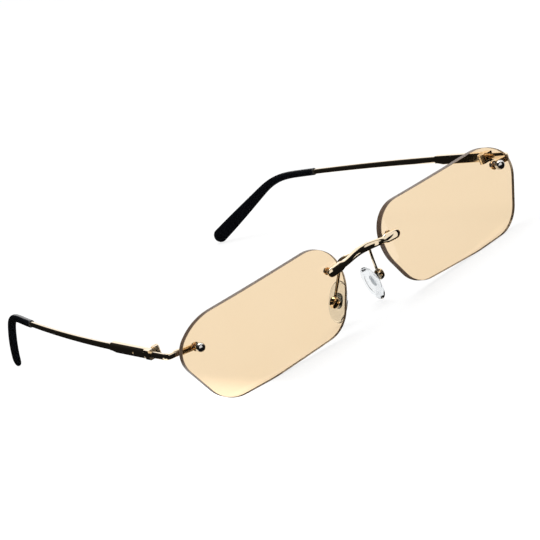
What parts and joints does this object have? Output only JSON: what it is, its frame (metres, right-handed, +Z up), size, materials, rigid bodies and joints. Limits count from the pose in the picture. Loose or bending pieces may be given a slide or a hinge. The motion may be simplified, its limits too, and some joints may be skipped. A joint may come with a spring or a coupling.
{
  "type": "rimless sunglasses",
  "caption": "Rimless sunglasses with drilled tinted lenses, a polished gold bridge, spring-hinged gold arms with black sleeves and clear nose pads.",
  "frame": {"origin": "under the middle of the glasses' box, on the ground that the lenses and the sleeves stand on", "axes": "+Z up, +Y from the lenses back towards the ears, +X towards the wearer's left arm, which is on the right when the glasses are seen from the front"},
  "size_m": [0.1374, 0.1515, 0.029],
  "materials": {
    "lens": "clear lens with a light peach-tan tint",
    "gold_metal": "polished pale gold plate",
    "silver_metal": "polished",
    "tip_plastic": "satin black",
    "insert_plastic": "clear hard plastic",
    "pad_silicone": "clear soft silicone"
  },
  "bodies": {
    "frame": {"lens_left": "lens", "lens_right": "lens", "bridge": "gold_metal", "bridge_nuts": "gold_metal", "endpiece_left": "gold_metal", "endpiece_right": "gold_metal", "dome_nut_left": "silver_metal", "dome_nut_right": "silver_metal", "hinge_leaf_left": "gold_metal", "hinge_leaf_right": "gold_metal", "hinge_screw_left": "gold_metal", "hinge_screw_right": "gold_metal", "pad_arm_left": "gold_metal", "pad_arm_right": "gold_metal", "pad_box_left": "gold_metal", "pad_box_right": "gold_metal", "pad_screws": "gold_metal"},
    "left_slider": {"hinge_slider_left": "gold_metal"},
    "right_slider": {"hinge_slider_right": "gold_metal"},
    "left_temple": {"hinge_box_left": "gold_metal", "spring_left": "silver_metal", "spring_cap_left": "silver_metal", "cap_rivet_left": "gold_metal", "arm_left": "gold_metal", "tip_left": "tip_plastic"},
    "right_temple": {"hinge_box_right": "gold_metal", "spring_right": "silver_metal", "spring_cap_right": "silver_metal", "cap_rivet_right": "gold_metal", "arm_right": "gold_metal", "tip_right": "tip_plastic"},
    "left_pad": {"pad_insert_left": "insert_plastic", "nose_pad_left": "pad_silicone"},
    "right_pad": {"pad_insert_right": "insert_plastic", "nose_pad_right": "pad_silicone"}
  },
  "joints": [
    {"name": "left_fold", "type": "hinge", "parent": "frame", "child": "left_slider", "pos_m": [-0.065, -0.05304, 0.02056], "axis": [0, 0.0297, -0.9996], "range_deg": [-4, 84]},
    {"name": "left_spring", "type": "slide", "parent": "left_slider", "child": "left_temple", "axis": [0.0785, 0.9965, 0.0296], "range_m": [0, 0.001], "stiffness_N_per_m": 1500, "deforming": ["spring_left"]},
    {"name": "right_fold", "type": "hinge", "parent": "frame", "child": "right_slider", "pos_m": [0.065, -0.05303, 0.01897], "axis": [0, 0.0035, 1], "range_deg": [-4, 80]},
    {"name": "right_spring", "type": "slide", "parent": "right_slider", "child": "right_temple", "axis": [-0.0785, 0.9969, -0.0035], "range_m": [0, 0.001], "stiffness_N_per_m": 1500, "deforming": ["spring_right"]},
    {"name": "left_pad_rock", "type": "hinge", "parent": "frame", "child": "left_pad", "pos_m": [-0.00898, -0.0632, 0.00812], "axis": [-0.1988, 0.8842, 0.4228], "range_deg": [-10, 10]},
    {"name": "right_pad_rock", "type": "hinge", "parent": "frame", "child": "right_pad", "pos_m": [0.00897, -0.06333, 0.00806], "axis": [-0.1, 0.9336, 0.3442], "range_deg": [-10, 10]}
  ]
}
